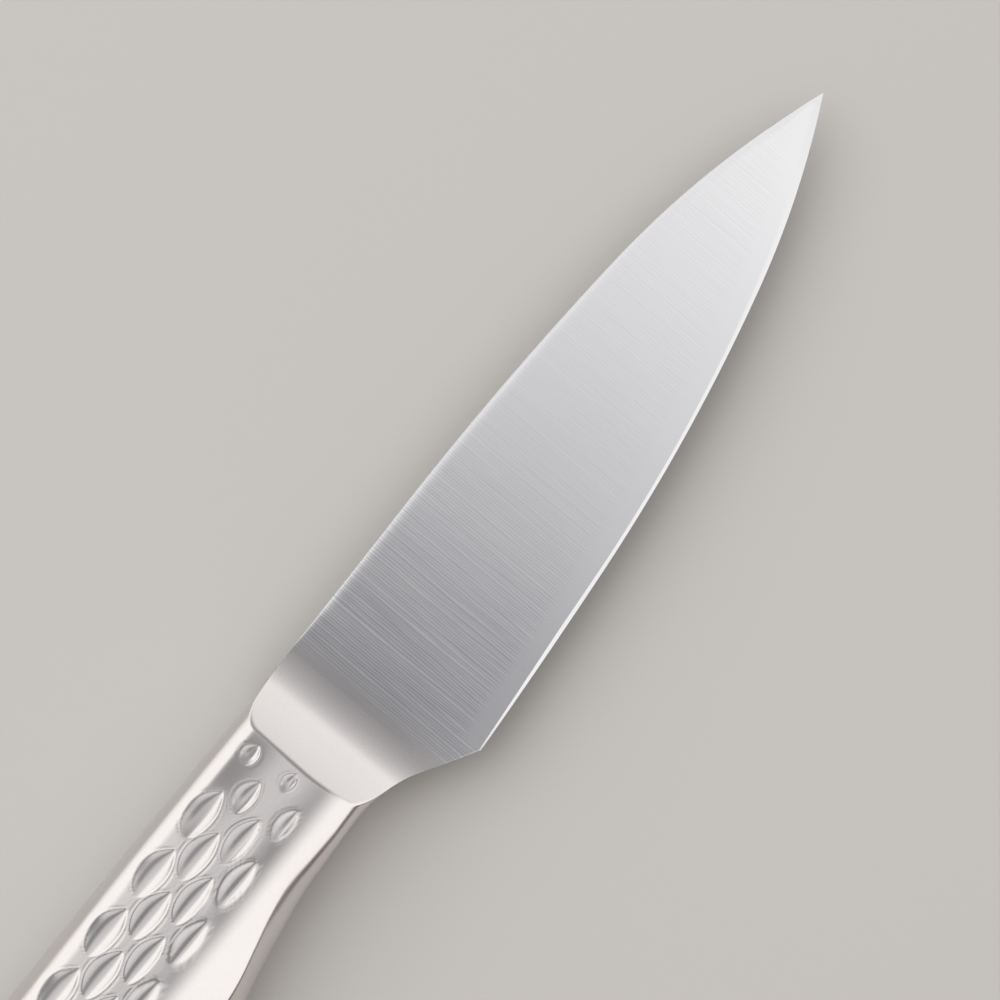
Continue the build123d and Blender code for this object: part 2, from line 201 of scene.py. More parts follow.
def section_sizes(x, turn):
    """Sizes of the sections at x, where turn is the angle round the butt."""
    table = np.vstack([NECK_STATION, STATIONS])
    behind = np.minimum(-x, HANDLE_LENGTH - BUTT_RADIUS) / HANDLE_LENGTH
    swell, facet, wall = [smooth_between(behind, table[:, 0], table[:, k]) for k in (1, 2, 3)]
    squeeze = BUTT_RADIUS * (1 - np.cos(turn))
    scale = 1 - BUTT_DROP * (1 - np.cos(turn)) / HALF
    rear = np.clip(-x / (REAR_SIDE_SHARE * HANDLE_LENGTH), 0, 1)
    grip_depth = NECK_DEPTH + swell * (HANDLE_DEPTH - NECK_DEPTH)
    grip_spine = -SPINE_DROOP * (np.minimum(x, 0) / HANDLE_LENGTH) ** 2
    ahead = x > NECK_PLACE
    return {
        "spine": np.where(ahead, blade_spine(np.maximum(x, NECK_PLACE)), grip_spine - squeeze),
        "belly": -np.where(ahead, neck_depth(x), grip_depth - squeeze),
        "facet": FACET_WIDTH * facet * scale,
        "wall": NECK_WALL + wall * (BELLY_WALL - NECK_WALL),
        "angle": np.radians(FRONT_SIDE + (REAR_SIDE - FRONT_SIDE) * rear),
        "corner": CORNER_RADIUS * scale,
        "top": HALF * scale,
        "land": LAND_DEPTH * scale,
    }


# %% A round stretch between two points, and the whole section
def round_edge(start, direction, end, t):
    """Points at t of a cubic that leaves start in direction and turns evenly to end."""
    start, direction, end = [np.stack(pair, -1) for pair in (start, direction, end)]
    direction = direction / np.linalg.norm(direction, axis=-1, keepdims=True)
    span = end - start
    length = np.linalg.norm(span, axis=-1, keepdims=True)
    chord = span / length
    along = np.sum(direction * chord, -1, keepdims=True)
    turned = np.arccos(np.clip(along, -1, 1))
    reach = 2 / 3 * length * np.tan(turned / 2) / np.maximum(np.sin(turned), LEAST_SINE)
    arrive = 2 * along * chord - direction
    knots = [start, start + direction * reach, end - arrive * reach, end]
    t = t[..., None]
    weights = [(1 - t) ** 3, 3 * t * (1 - t) ** 2, 3 * t**2 * (1 - t), t**3]
    return sum(weight * knot for weight, knot in zip(weights, knots))


SIDE_STEPS, CORNER_STEPS, LAND_STEPS, CROWN_STEPS, FACET_STEPS = 12, 14, 52, 26, 12
SIDE_SAMPLES, WALL_STEPS, SEAM_ROWS = 60, 4, 3


def section_points(sizes):
    """Rows of (y, z) points for sections: one row for each place along the knife."""
    zero, one = np.zeros_like(sizes["top"]), np.ones_like(sizes["top"])
    top, angle, corner = sizes["top"], sizes["angle"], sizes["corner"]
    side_top = top - corner * (1 - np.sin(angle))
    side_y = sizes["spine"] - side_top * np.tan(angle / 2)
    land_start = side_y - corner * np.cos(angle)
    edge_y = sizes["belly"] + sizes["facet"]
    land_end = np.maximum(sizes["spine"] - sizes["land"], (land_start + edge_y) / 2)
    edge_top = top - (land_end - edge_y) * math.tan(CROWN_ANGLE / 2)
    wall = np.minimum(sizes["wall"], edge_top / 2)

    def stretch(start, direction, end, t):
        cast = [[np.broadcast_to(v[:, None], (len(v), len(t))) for v in pair]
                for pair in (start, direction, end)]
        return round_edge(*cast, np.broadcast_to(t, (len(top), len(t))))

    def even(count):
        return np.linspace(0, 1, count + 1)

    side = stretch((sizes["spine"], zero), (zero, one), (side_y, side_top), even(SIDE_SAMPLES))
    rounding = stretch((side_y, side_top), (-np.sin(angle), np.cos(angle)),
                       (land_start, top), even(CORNER_STEPS))
    land = np.stack([land_start[:, None] + (land_end - land_start)[:, None] * even(LAND_STEPS),
                     np.broadcast_to(top[:, None], (len(top), LAND_STEPS + 1))], -1)
    crown = stretch((land_end, top), (-one, zero), (edge_y, edge_top), even(CROWN_STEPS))
    facet = stretch((sizes["belly"], wall), (zero, one), (edge_y, edge_top), even(FACET_STEPS))

    seam_z = np.linspace(0, SEAM_HALF, SEAM_ROWS)
    rows = []
    for k in range(len(top)):
        side_z = np.concatenate([seam_z, np.linspace(SEAM_HALF, side_top[k], SIDE_STEPS)[1:]])
        side_points = np.stack([np.interp(side_z, side[k, :, 1], side[k, :, 0]), side_z], -1)
        wall_z = np.concatenate([np.linspace(wall[k], SEAM_HALF, WALL_STEPS), seam_z[::-1][1:]])
        wall_points = np.stack([np.full_like(wall_z, sizes["belly"][k]), wall_z], -1)
        rows.append(np.concatenate([
            side_points, rounding[k, 1:], land[k, 1:], crown[k, 1:],
            facet[k, ::-1][1:], wall_points[1:],
        ]))
    return np.array(rows)


# %% [markdown]
# ## Dimples
#
# The sheet is pressed with lens-shaped dimples in four staggered rows. Each is shaped like the
# mark of a wheel: deepest in the middle, running out to a narrow end in front and a blunter one
# behind. Pressed sheet has no sharp lines, so the rims are rounded off, and a faint moat round
# each dimple stands for the sheet that is drawn down with it. They could be cut out with solid
# tools, but a depth worked out for every point keeps the skin one even net, on which the
# reflections run clean.

# %% Dimples as a depth over the land
DIMPLE_LENGTH, DIMPLE_WIDTH, DIMPLE_DEPTH, DIMPLE_SKEW = 8.6, 4.2, 0.75, 0.55
DIMPLE_PITCH, FIRST_ROW, ROW_PITCH, ROW_STAGGER, ROW_LEAN = 10.47, 4.6, 3.3, 4.8, 0.45
FIRST_GAP, LAST_GAP, FADE_LENGTH = 3.1, 10.0, 13.8
FADED_LENGTH, FADED_WIDTH = 0.25, 0.34
ROW_WIDTHS = (1.0, 0.89, 0.80, 0.73)
SOFT_SIDE_POWER, STEEP_SIDE_POWER, REAR_ROUNDNESS = 2.2, 2.3, 0.62
RIM_ROUNDING, RIM_MARGIN, LEAST_GROOVE = 0.02, 1.5, 1e-4
MOAT_DEPTH, MOAT_PLACE, MOAT_WIDTH, MOAT_END = 0.07, 0.36, 0.17, 0.4


def dimple_list():
    """(x, y, half length, depth, half width, skew) of every dimple of one side."""
    dimples = []
    pattern_end = RIDGE_PLACE + HANDLE_LENGTH - LAST_GAP
    for row, row_width in enumerate(ROW_WIDTHS):
        behind = FIRST_GAP + row % 2 * ROW_STAGGER - row // 2 * ROW_LEAN
        while behind < pattern_end:
            room = min(behind, pattern_end - behind, FADE_LENGTH) / FADE_LENGTH
            length = FADED_LENGTH + (1 - FADED_LENGTH) * room
            width = (FADED_WIDTH + (1 - FADED_WIDTH) * length) * row_width
            x = RIDGE_PLACE - behind
            y = -SPINE_DROOP * (x / HANDLE_LENGTH) ** 2 - FIRST_ROW - row * ROW_PITCH
            dimples.append((x, y, DIMPLE_LENGTH * length / 2, DIMPLE_DEPTH * width,
                            DIMPLE_WIDTH * width / 2, DIMPLE_SKEW * width))
            behind += DIMPLE_PITCH
    return dimples


def dimple_depth(x, y):
    """How deep the sheet is pressed in at each (x, y)."""
    depth = np.zeros_like(x)
    for at_x, at_y, half_length, deep, half_width, skew in dimple_list():
        wheel = (half_length**2 + deep**2) / (2 * deep)
        near = np.abs(x - at_x) < half_length + RIM_MARGIN
        near &= np.abs(y - at_y) < half_width + RIM_MARGIN
        along, across = x[near] - at_x, y[near] - at_y + skew
        groove = np.maximum(deep - wheel + np.sqrt(wheel**2 - along**2), LEAST_GROOVE)
        wide = np.clip(groove / deep, 0, 1) ** np.where(along < 0, REAR_ROUNDNESS, 1.0)
        reach = np.where(across > 0, half_width + skew, half_width - skew) * wide
        share = np.abs(across) / reach
        soft_side = 1 - share**SOFT_SIDE_POWER
        steep_side = 1 - share**STEEP_SIDE_POWER
        pressed = groove * np.where(across > 0, soft_side, steep_side)
        pressed = np.maximum(pressed, -1)
        pressed = RIM_ROUNDING * np.logaddexp(0, pressed / RIM_ROUNDING)
        outside = np.abs(across) - reach
        moat = MOAT_DEPTH * deep / DIMPLE_DEPTH
        moat = moat * np.exp(-(((outside - MOAT_PLACE) / MOAT_WIDTH) ** 2))
        moat *= np.clip((half_length + MOAT_END - np.abs(along)) / (2 * MOAT_END), 0, 1)
        depth[near] = np.maximum(depth[near], np.maximum(pressed, moat))
    return depth


print(len(dimple_list()), "dimples on each side")

# %% [markdown]
# ## The handle's skin
#
# One fine grid covers the right half of the handle, from the butt to the foot of the ramp. The
# ramp cuts it off: a straight slope from the ridge, then a hollow that runs out onto the blade.
# Cutting softly keeps the ridge as rounded as a blasted edge. The grid's normals are worked out
# before it is cut into the pieces that are welded together, so no seam shows as a crease. A
# grid is chosen over a coarse mesh with smoothing, because its rows can follow the ridge.


# %% Shape of the ramp
def soft_least(first, second, softness):
    """The lower of two heights, rounded over where they cross."""
    blend = np.clip(0.5 + 0.5 * (second - first) / softness, 0, 1)
    return second + (first - second) * blend - softness * blend * (1 - blend)


def ramp_height(x, y):
    """Height of the ramp: a straight slope, then the hollow that runs out onto the blade."""
    centre = RAMP_FOOT + HOLLOW_RADIUS * math.sin(FOOT_ANGLE)
    hollow = HOLLOW_RADIUS * math.cos(FOOT_ANGLE) - np.sqrt(
        np.maximum(HOLLOW_RADIUS**2 - (np.minimum(x, RAMP_FOOT) - centre) ** 2, 0))
    slope = hollow_rise + (WELD_PLACE - x) * math.tan(RAMP_ANGLE)
    return flank_height(x, y) + np.where(x < WELD_PLACE, slope, hollow)


# %% The grid
BUTT_ROWS, RAMP_ROWS, FOOT_ROWS = 33, 58, 24
GRIP_SPACING, RAMP_ROWS_START, CUT_START = 0.27, -1.8, -2.0
PRESSED_ABOVE, RIDGE_SOFTNESS = 0.8 * HALF, 0.28

turns = np.linspace(math.pi / 2, 0, BUTT_ROWS)
butt_places = -HANDLE_LENGTH + BUTT_RADIUS * (1 - np.sin(turns))
grip_places = np.arange(-HANDLE_LENGTH + BUTT_RADIUS, RAMP_ROWS_START, GRIP_SPACING)
ramp_places = np.linspace(RAMP_ROWS_START, WELD_PLACE, RAMP_ROWS)
foot_places = np.linspace(WELD_PLACE, RAMP_FOOT, FOOT_ROWS)
places = np.concatenate([butt_places, grip_places[1:], ramp_places, foot_places[1:]])
turn_at = np.zeros_like(places)
turn_at[:len(turns)] = turns
WELD_ROW = len(places) - len(foot_places)
BUTT_ROW = len(turns) - 1

outline = section_points(section_sizes(places, turn_at))
grid = np.zeros(outline.shape[:2] + (3,))
grid[..., 0] = places[:, None]
grid[..., 1:] = outline
pressed = dimple_depth(grid[..., 0], grid[..., 1]) * (outline[..., 1] > PRESSED_ABOVE)
grid[..., 2] -= pressed
ramp = ramp_height(grid[..., 0], grid[..., 1])
ahead = grid[..., 0] > CUT_START
grid[..., 2] = np.where(ahead, soft_least(grid[..., 2], ramp, RIDGE_SOFTNESS), grid[..., 2])
grid[..., 2] = np.maximum(grid[..., 2], 0)

# The butt closes with flat rings round the plug
PLUG_RADIUS, CAP_RINGS = 1.7, 6
butt_edge = grid[0]
butt_swell = STATIONS[-1, 1]
butt_middle = -(NECK_DEPTH + butt_swell * (HANDLE_DEPTH - NECK_DEPTH) + SPINE_DROOP) / 2
round_plug = np.arctan2(butt_edge[:, 2], butt_edge[:, 1] - butt_middle)
plug_edge = np.stack([butt_edge[:, 0], butt_middle + PLUG_RADIUS * np.cos(round_plug),
                      PLUG_RADIUS * np.sin(round_plug)], -1)
shares = np.linspace(0, 1, CAP_RINGS, endpoint=False)[:, None, None]
grid = np.concatenate([plug_edge + (butt_edge - plug_edge) * shares, grid])
WELD_ROW += CAP_RINGS
BUTT_ROW += CAP_RINGS
print("handle grid:", grid.shape[:2])


# %% Normals of the grid
NO_LENGTH = 1e-12


def grid_normals(points):
    """Normals from the steps along and across a grid."""
    along = np.gradient(points, axis=0)
    across = np.gradient(points, axis=1)
    normals = np.cross(along, across)
    return normals / np.maximum(np.linalg.norm(normals, axis=-1, keepdims=True), NO_LENGTH)


padded_grid = np.concatenate([grid[:, 1:2] * (1, 1, -1), grid, grid[:, -2:-1] * (1, 1, -1)], 1)
normals = -grid_normals(padded_grid)[:, 1:-1]


# %% A skin from part of a grid
def make_skin(name, points, normals, flip=False):
    """A mesh object with one quad for each cell of the grid, with the given normals."""
    rows, columns = points.shape[:2]
    corners = np.arange(rows * columns).reshape(rows, columns)
    cells = np.stack([corners[:-1, :-1], corners[:-1, 1:], corners[1:, 1:], corners[1:, :-1]], -1)
    cells = cells.reshape(-1, 4)
    if flip:
        cells = cells[:, ::-1]
    mesh = bpy.data.meshes.new(name)
    places_m = (points.reshape(-1, 3) + np.array(SHIFT)) * MM
    mesh.from_pydata(places_m.tolist(), [], cells.tolist())
    mesh.shade_smooth()
    mesh.normals_split_custom_set_from_vertices(normals.reshape(-1, 3).tolist())
    skin = bpy.data.objects.new(name, mesh)
    bpy.context.scene.collection.objects.link(skin)
    return skin


def mirrored_skin(name, points, normals):
    """The same part of the grid on the left side."""
    return make_skin(name, points * (1, 1, -1), normals * (1, 1, -1), flip=True)


def stand_for(skin, node):
    """The skin takes the place of a solid and moves with the knife."""
    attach(skin, "root")
    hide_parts(node)
    print(skin.name, len(skin.data.polygons), "faces for", node)


# %% The two halves of the handle
shell_part = (slice(0, WELD_ROW + 1), slice(SEAM_ROWS - 1, grid.shape[1] - SEAM_ROWS + 1))
shell_right = make_skin("shell_skin_right", grid[shell_part], normals[shell_part])
shell_left = mirrored_skin("shell_skin_left", grid[shell_part], normals[shell_part])
stand_for(shell_right, "handle_shell_right")
stand_for(shell_left, "handle_shell_left")

# %% [markdown]
# ## Welds
#
# The two halves are welded along the back, the belly and round the butt, and the blade is
# welded into the ramp. All of it is ground flush and blasted, so the weld metal only shows as
# a faint change of grain. The strips come from the same grid as the halves, not from meshes of
# their own, so that they meet them without a step.


# %% Seams
def seam_strip(name, rows, on_back):
    """A strip of the skin across the middle plane, from both halves of the grid."""
    columns = slice(SEAM_ROWS - 1, None, -1) if on_back else slice(-SEAM_ROWS, None)
    points, ways = grid[rows, columns], normals[rows, columns]
    other, other_ways = points[:, ::-1] * (1, 1, -1), ways[:, ::-1] * (1, 1, -1)
    strip = np.concatenate([points, other[:, 1:]], 1)
    strip_ways = np.concatenate([ways, other_ways[:, 1:]], 1)
    return make_skin(name, strip, strip_ways, flip=on_back)


def joined(first, second):
    """Two skins as one object."""
    both = [first, second]
    with bpy.context.temp_override(active_object=first, selected_editable_objects=both):
        bpy.ops.object.join()
    return first


side_rows = slice(BUTT_ROW, WELD_ROW + 1)
butt_rows = slice(0, BUTT_ROW + 1)
back_seam = seam_strip("back_seam_skin", side_rows, on_back=True)
belly_seam = seam_strip("belly_seam_skin", side_rows, on_back=False)
butt_seam = joined(seam_strip("butt_seam_skin", butt_rows, on_back=True),
                   seam_strip("butt_seam_skin_low", butt_rows, on_back=False))
stand_for(back_seam, "spine_seam_weld")
stand_for(belly_seam, "belly_seam_weld")
stand_for(butt_seam, "butt_seam_weld")

# %% Foot of the ramp, over the blade only
foot_part = (slice(WELD_ROW, None), slice(None))
foot_points = grid[foot_part].copy()
on_flank = flank_height(foot_points[..., 0], foot_points[..., 1])
foot_points[..., 2] = np.maximum(foot_points[..., 2], on_flank)
foot_right = make_skin("ramp_foot_right", foot_points, normals[foot_part])
foot_left = mirrored_skin("ramp_foot_left", foot_points, normals[foot_part])
stand_for(foot_right, "blade_weld_right")
stand_for(foot_left, "blade_weld_left")

# %% [markdown]
# ## The blade
#
# The blade is ground from both sides. A big wheel leaves each flank a few hundredths of a
# millimetre full in the middle, which is what lets light travel over it. The spine's corners
# are broken, and a narrow bevel makes the edge. A modelled block with bevelled corners would do
# for the outline, but sections worked out one by one keep the flank's slight curve exact.

# %% Blade grid
FLANK_STEPS, BEVEL_STEPS, SPINE_ROUND_STEPS = 70, 3, 9
HEEL_ROWS, BLADE_ROWS, POINT_ROWS, POINT_START, POINT_CUT = 46, 360, 70, 112, 0.02
FULLNESS, FULL_DEPTH, FULL_RUN = 0.05, 15, 10
SPINE_ROUND_WIDTH, SPINE_ROUND_HEIGHT, SPINE_ROUND_DEPTH, SPINE_ROUND_RUN = 1.5, 0.38, 6, 9
HEEL_BEVEL_SHARE, BEVEL_RUN, BEVEL_LIMIT = 0.35, 20, 0.6
SLOPE_REACH, LEAST_STEP = 0.2, 1e-6
SHARP_ANGLE = math.radians(12)
BUFFED_WIDTH, BUFFED_FADE, FAR_FROM_EDGE = 2.2, 2.2, 99.0
HAIRLINES_START, HAIRLINES_RISE, HAIRLINES_WANE, HAIRLINES_LEFT = 7.0, 6.0, (18.0, 62.0), 0.18
SATIN_LEAD, SATIN_FADE = 1, 5

blade_places = np.unique(np.concatenate([
    np.linspace(WELD_PLACE, HEEL_PLACE, HEEL_ROWS),
    np.linspace(HEEL_PLACE, POINT_START, BLADE_ROWS),
    np.linspace(POINT_START, BLADE_LENGTH - POINT_CUT, POINT_ROWS),
]))
heel_row = int(np.searchsorted(blade_places, HEEL_PLACE - LEAST_STEP))
blade_places = np.insert(blade_places, heel_row, HEEL_PLACE)


def blade_section(x, has_edge):
    """Points of the right side of the blade at x, from the middle of the spine to the edge.

    With them come the height of the edge and how far it leans from the x axis, as a cosine.
    """
    at = np.array([x])
    spine_y = float(blade_spine(np.maximum(at, NECK_PLACE))[0])
    low_y = float(blade_edge(at)[0]) if has_edge else -float(neck_depth(at)[0])
    depth = spine_y - low_y
    near = np.array([max(HEEL_PLACE, x - SLOPE_REACH), min(BLADE_LENGTH, x + SLOPE_REACH)])
    edge_slope = float(np.diff(blade_edge(near))[0] / np.diff(near)[0]) if has_edge else 0.0
    lean = 1 / math.hypot(1, edge_slope)
    thick = flank_height(x, low_y)
    rise = lean * math.tan(BEVEL_ANGLE)
    shoulder = min(thick / (rise - FALL_DOWN), BEVEL_LIMIT * depth) if has_edge else 0.0
    slim = min(1, shoulder * rise / thick) if has_edge else 1.0
    widened = min(1, max(0, (x - HEEL_PLACE) / BEVEL_RUN))
    shoulder *= HEEL_BEVEL_SHARE + (1 - HEEL_BEVEL_SHARE) * widened
    started = min(1, max(0, (x - RAMP_FOOT) / SPINE_ROUND_RUN))
    soften = SPINE_ROUND_HEIGHT * started * min(1, depth / SPINE_ROUND_DEPTH)
    spread = soften * SPINE_ROUND_WIDTH / SPINE_ROUND_HEIGHT
    high_y, base_y = spine_y - spread, low_y + shoulder + (0 if has_edge else soften)

    corner = flank_height(x, high_y)
    points = [(spine_y, 0.0)]
    points += [(high_y + spread * math.sin(a), corner - soften * (1 - math.cos(a)))
               for a in np.linspace(math.pi / 2, 0, SPINE_ROUND_STEPS, endpoint=False)]
    full = FULLNESS * min(1, depth / FULL_DEPTH) * min(1, max(0, (x - RAMP_FOOT) / FULL_RUN))
    for s in np.linspace(0, 1, FLANK_STEPS + 1):
        y = high_y + (base_y - high_y) * s
        points.append((y, flank_height(x, y) + full * 4 * s * (1 - s)))
    base = points[-1][1]
    for k in range(1, BEVEL_STEPS + 1):
        part = k / BEVEL_STEPS
        if has_edge:
            points.append((base_y + (low_y - base_y) * part, base * (1 - part)))
        else:
            a = part * math.pi / 2
            points.append((base_y - soften * math.sin(a), base - soften * (1 - math.cos(a))))
    points.append((low_y, 0.0))
    return [(x, y, z * slim) for y, z in points], low_y, lean


rows, edge_distance = [], []
for k, x in enumerate(blade_places):
    points, low_y, lean = blade_section(x, has_edge=k > heel_row)
    rows.append(points)
    edge_distance.append([(y - low_y) * lean if x >= HEEL_PLACE else FAR_FROM_EDGE
                          for _, y, _ in points])
blade_grid = np.array(rows)
edge_distance = np.array(edge_distance)
print("blade grid:", blade_grid.shape[:2])

# %% [markdown]
# The belt left hairlines from the spine to the edge on the flank. They fade out towards the
# ramp, which was blasted, and along the edge, which was buffed again after the bevel was cut.
# How strong the hairlines are at each point is kept with the mesh for the material to read.


# %% Blade skin
def even_step(value):
    """Rises from 0 to 1 as the value does, starting and ending gently."""
    value = np.clip(value, 0, 1)
    return value**2 * (3 - 2 * value)


def keep_finish(mesh, x, distance):
    """Keeps how strong the hairlines and the satin are at each point of a mesh."""
    wane = even_step((x - HAIRLINES_WANE[0]) / (HAIRLINES_WANE[1] - HAIRLINES_WANE[0]))
    hairlines = even_step((x - HAIRLINES_START) / HAIRLINES_RISE)
    hairlines *= even_step((distance - BUFFED_WIDTH) / BUFFED_FADE)
    hairlines *= 1 - (1 - HAIRLINES_LEFT) * wane
    satin = 1 - even_step((x - RAMP_FOOT + SATIN_LEAD) / SATIN_FADE)
    for name, values in (("hairlines", hairlines), ("satin", satin)):
        kept = mesh.attributes.new(name, "FLOAT", "POINT")
        kept.data.foreach_set("value", values.reshape(-1).astype(np.float32))


def blade_skin():
    """Both sides of the blade as one closed skin, with the strength of its hairlines."""
    count, width = blade_grid.shape[:2]
    right, left = blade_grid, blade_grid[:, 1:-1][:, ::-1] * (1, 1, -1)
    ring = np.concatenate([right, left], 1)
    distance = np.concatenate([edge_distance, edge_distance[:, 1:-1][:, ::-1]], 1)
    around = ring.shape[1]
    corners = np.arange(count * around).reshape(count, around)
    following = np.roll(corners, -1, axis=1)
    cells = np.stack([corners[:-1], following[:-1], following[1:], corners[1:]], -1).reshape(-1, 4)
    mesh = bpy.data.meshes.new("ground_blade")
    mesh.from_pydata(((ring.reshape(-1, 3) + np.array(SHIFT)) * MM).tolist(), [], cells.tolist())
    keep_finish(mesh, ring[..., 0], distance)
    mesh.shade_smooth()
    mesh.set_sharp_from_angle(angle=SHARP_ANGLE)
    skin = bpy.data.objects.new("ground_blade", mesh)
    bpy.context.scene.collection.objects.link(skin)
    return skin


ground_blade = blade_skin()
for foot in (foot_right, foot_left):
    keep_finish(foot.data, foot_points[..., 0], FAR_FROM_EDGE)
stand_for(ground_blade, "blade")

# %% [markdown]
# ## Steel finishes
#
# All of it is chromium stainless steel: bare metal, so the look is only gloss and grain. Three
# finishes show. The flank is belt-ground, with hairlines. The handle is blasted with glass
# beads, a fine even satin. The weld metal is the same satin with a slightly different tone.
# Pictures of grain could be laid over the skins, but patterns worked out in millimetres need no
# unwrapping and keep their real size.


# %% Helpers for materials
# Nearly all values of a noise lie between these two
NOISE_LOW, NOISE_HIGH = 0.3, 0.7


def linear(hex_colour):
    """The linear colour of an sRGB hex value."""
    levels = [int(hex_colour[k:k + 2], 16) / 255 for k in (1, 3, 5)]
    return [v / 12.92 if v <= 0.04045 else ((v + 0.055) / 1.055) ** 2.4 for v in levels] + [1.0]


def add_node(tree, kind, settings=None, links=None, **values):
    """A new node: its settings, its socket values by name, and links to sockets by name."""
    node = tree.nodes.new(kind)
    for name, value in (settings or {}).items():
        setattr(node, name, value)
    for name, value in values.items():
        node.inputs[name.replace("_", " ")].default_value = value
    for name, source in (links or {}).items():
        target = node.inputs[name] if isinstance(name, (int, str)) else name
        tree.links.new(source, target)
    return node


def new_material(name):
    """An empty material and its node tree."""
    material = bpy.data.materials.new(name)
    material.use_nodes = True
    material.node_tree.nodes.clear()
    return material, material.node_tree


def finish_material(tree, shader):
    add_node(tree, "ShaderNodeOutputMaterial", links={"Surface": shader.outputs["BSDF"]})


# %% [markdown]
# Belt-ground stainless: grey, with lines that show by a slight change of tone and height. They
# are about 0.4 mm apart, which just shows in the picture, and each runs 10 mm or more.

# %% Belt-ground steel
def belt_ground_steel():
    material, tree = new_material("belt_ground_steel")
    place = add_node(tree, "ShaderNodeTexCoord")
    line_spacing, line_run, line_height = 0.42 * MM, 12 * MM, 0.012 * MM
    lines_in_a_streak, streak_share, tone_between_lines = 2.5, 0.3, 0.65
    least_roughness, most_roughness = 0.19, 0.23
    along = add_node(tree, "ShaderNodeMapping", links={"Vector": place.outputs["Object"]},
                     Scale=(1 / line_spacing, 1 / line_run, 1 / line_run))
    turns_in_a_line = math.pi / 10
    lines = add_node(tree, "ShaderNodeTexWave", {"bands_direction": "X"},
                     links={"Vector": along.outputs["Vector"]}, Scale=turns_in_a_line,
                     Distortion=9.0, Detail=3.0, Detail_Scale=1.3, Detail_Roughness=0.6)
    streaks = add_node(tree, "ShaderNodeTexNoise", links={"Vector": along.outputs["Vector"]},
                       Scale=1 / lines_in_a_streak, Detail=3.0, Roughness=0.7)
    streak_tone = add_node(tree, "ShaderNodeMapRange", links={"Value": streaks.outputs["Fac"]},
                           From_Min=NOISE_LOW, From_Max=NOISE_HIGH)
    cloud = add_node(tree, "ShaderNodeTexNoise", links={"Vector": place.outputs["Object"]},
                     Scale=60.0, Detail=2.0)
    strength = add_node(tree, "ShaderNodeAttribute", {"attribute_name": "hairlines"})
    tone = add_node(tree, "ShaderNodeMix", {"data_type": "FLOAT"},
                    links={2: lines.outputs["Fac"], 3: streak_tone.outputs["Result"]})
    tone.inputs[0].default_value = streak_share
    shown = add_node(tree, "ShaderNodeMix", {"data_type": "FLOAT"},
                     links={0: strength.outputs["Fac"], 3: tone.outputs[0]})
    shown.inputs[2].default_value = tone_between_lines
    colour = add_node(tree, "ShaderNodeMix", {"data_type": "RGBA"},
                      links={0: shown.outputs[0]})
    colour.inputs[6].default_value = linear("#BEBFC2")
    colour.inputs[7].default_value = linear("#E3E3E5")
    satin = add_node(tree, "ShaderNodeAttribute", {"attribute_name": "satin"})
    toned = add_node(tree, "ShaderNodeMix", {"data_type": "RGBA"},
                     links={0: satin.outputs["Fac"], 6: colour.outputs[2]})
    toned.inputs[7].default_value = linear("#DFDBD9")
    gloss = add_node(tree, "ShaderNodeMapRange", links={"Value": cloud.outputs["Fac"]},
                     From_Min=NOISE_LOW, From_Max=NOISE_HIGH,
                     To_Min=least_roughness, To_Max=most_roughness)
    bump = add_node(tree, "ShaderNodeBump", links={"Height": shown.outputs[0]},
                    Strength=0.25, Distance=line_height)
    shader = add_node(tree, "ShaderNodeBsdfPrincipled", Metallic=1.0, links={
        "Base Color": toned.outputs[2], "Roughness": gloss.outputs["Result"],
        "Normal": bump.outputs["Normal"]})
    finish_material(tree, shader)
    return material


ground_steel = belt_ground_steel()
for skin in (ground_blade, foot_right, foot_left):
    skin.data.materials.append(ground_steel)


# %% [markdown]
# Bead-blasted stainless: the beads leave overlapping pits under 0.2 mm wide, so the satin is
# the same in every direction. Handling burnishes it a little in places.

# %% Bead-blasted steel
def bead_blasted_steel(name, light, dark, roughness):
    material, tree = new_material(name)
    place = add_node(tree, "ShaderNodeTexCoord")
    pit_width, pit_depth, burnish_width, burnish = 0.16 * MM, 0.012 * MM, 9 * MM, 0.03
    pits = add_node(tree, "ShaderNodeTexNoise", links={"Vector": place.outputs["Object"]},
                    Scale=1 / pit_width, Detail=2.0, Roughness=0.6)
    patches = add_node(tree, "ShaderNodeTexNoise", links={"Vector": place.outputs["Object"]},
                       Scale=1 / burnish_width, Detail=2.0)
    colour = add_node(tree, "ShaderNodeMix", {"data_type": "RGBA"}, links={0: pits.outputs["Fac"]})
    colour.inputs[6].default_value = linear(dark)
    colour.inputs[7].default_value = linear(light)
    gloss = add_node(tree, "ShaderNodeMapRange", links={"Value": patches.outputs["Fac"]},
                     From_Min=NOISE_LOW, From_Max=NOISE_HIGH,
                     To_Min=roughness - burnish, To_Max=roughness + burnish)
    bump = add_node(tree, "ShaderNodeBump", links={"Height": pits.outputs["Fac"]},
                    Strength=0.3, Distance=pit_depth)
    shader = add_node(tree, "ShaderNodeBsdfPrincipled", Metallic=1.0, links={
        "Base Color": colour.outputs[2], "Roughness": gloss.outputs["Result"],
        "Normal": bump.outputs["Normal"]})
    finish_material(tree, shader)
    return material


blasted_shell = bead_blasted_steel("bead_blasted_steel", "#E6E2E0", "#D8D4D2", 0.22)
blasted_weld = bead_blasted_steel("blasted_weld_metal", "#E4E0DD", "#D5D1CE", 0.24)
for skin in (shell_right, shell_left):
    skin.data.materials.append(blasted_shell)
for skin in (back_seam, belly_seam, butt_seam):
    skin.data.materials.append(blasted_weld)


def finish_node(name, material):
    """Gives a solid that stays in view its finish."""
    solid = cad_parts[name]
    solid.data.materials.clear()
    solid.data.materials.append(material)


finish_node("fill_plug", blasted_weld)
